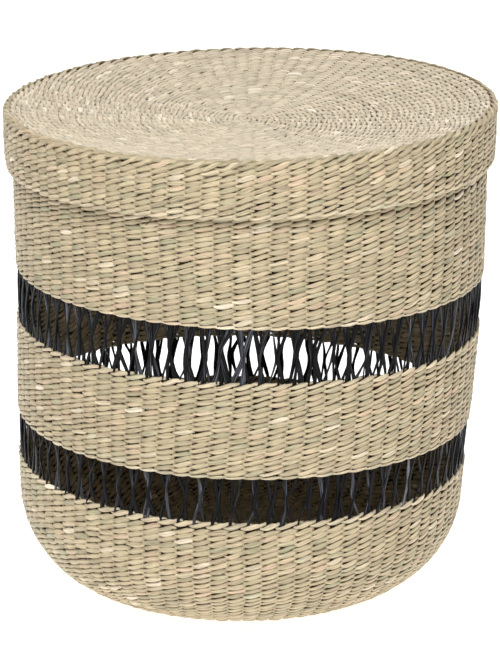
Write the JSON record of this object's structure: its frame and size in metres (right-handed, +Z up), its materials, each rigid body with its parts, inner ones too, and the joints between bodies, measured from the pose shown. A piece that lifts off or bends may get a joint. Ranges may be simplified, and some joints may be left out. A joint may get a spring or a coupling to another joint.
{
  "type": "lidded woven laundry basket",
  "caption": "Round lidded laundry basket, twined from natural seagrass over black stakes, with openwork bands of bare crossed stakes and a lift-off cap lid.",
  "frame": {"origin": "centre of the flat base, on the surface the basket stands on", "axes": "+Z up along the basket's axis, towards the lid; the lid lifts along +Z; X and Y are any two directions across, because the basket is round"},
  "size_m": [0.45, 0.45, 0.4532],
  "materials": {
    "seagrass_natural": "dry twined seagrass strand, beige to sage green, matt with a slight silky sheen along the fibres",
    "seagrass_blond": "paler, pinkish-tan seagrass strand of the edge and locking rows, matt",
    "seagrass_base": "twined seagrass of the base, matt, a little darker",
    "seagrass_black": "flat seagrass stakes dyed blue-black, low satin sheen"
  },
  "bodies": {
    "basket": {"base_centre": "seagrass_base", "base_disc": "seagrass_base", "base_turn": "seagrass_natural", "round_corner": "seagrass_natural", "lower_band": "seagrass_natural", "lower_band_lock_row": "seagrass_blond", "lower_stakes_01": "seagrass_black", "lower_stakes_02": "seagrass_black", "lower_stakes_03": "seagrass_black", "lower_stakes_04": "seagrass_black", "lower_stakes_05": "seagrass_black", "lower_stakes_06": "seagrass_black", "lower_stakes_07": "seagrass_black", "lower_stakes_08": "seagrass_black", "lower_stakes_09": "seagrass_black", "lower_stakes_10": "seagrass_black", "lower_stakes_11": "seagrass_black", "lower_stakes_12": "seagrass_black", "lower_stakes_13": "seagrass_black", "lower_stakes_14": "seagrass_black", "middle_band_foot_row": "seagrass_blond", "middle_band": "seagrass_natural", "middle_band_lock_row": "seagrass_blond", "upper_stakes_01": "seagrass_black", "upper_stakes_02": "seagrass_black", "upper_stakes_03": "seagrass_black", "upper_stakes_04": "seagrass_black", "upper_stakes_05": "seagrass_black", "upper_stakes_06": "seagrass_black", "upper_stakes_07": "seagrass_black", "upper_stakes_08": "seagrass_black", "upper_stakes_09": "seagrass_black", "upper_stakes_10": "seagrass_black", "upper_stakes_11": "seagrass_black", "upper_stakes_12": "seagrass_black", "upper_stakes_13": "seagrass_black", "upper_stakes_14": "seagrass_black", "upper_band_foot_row": "seagrass_blond", "upper_band": "seagrass_natural", "mouth_border": "seagrass_blond"},
    "lid": {"lid_centre": "seagrass_natural", "lid_top": "seagrass_natural", "lid_corner_row": "seagrass_blond", "lid_skirt": "seagrass_natural", "lid_border": "seagrass_blond"}
  },
  "joints": [
    {"name": "lid_lift", "type": "slide", "parent": "basket", "child": "lid", "axis": [0, 0, 1], "range_m": [0, 0.2]}
  ]
}
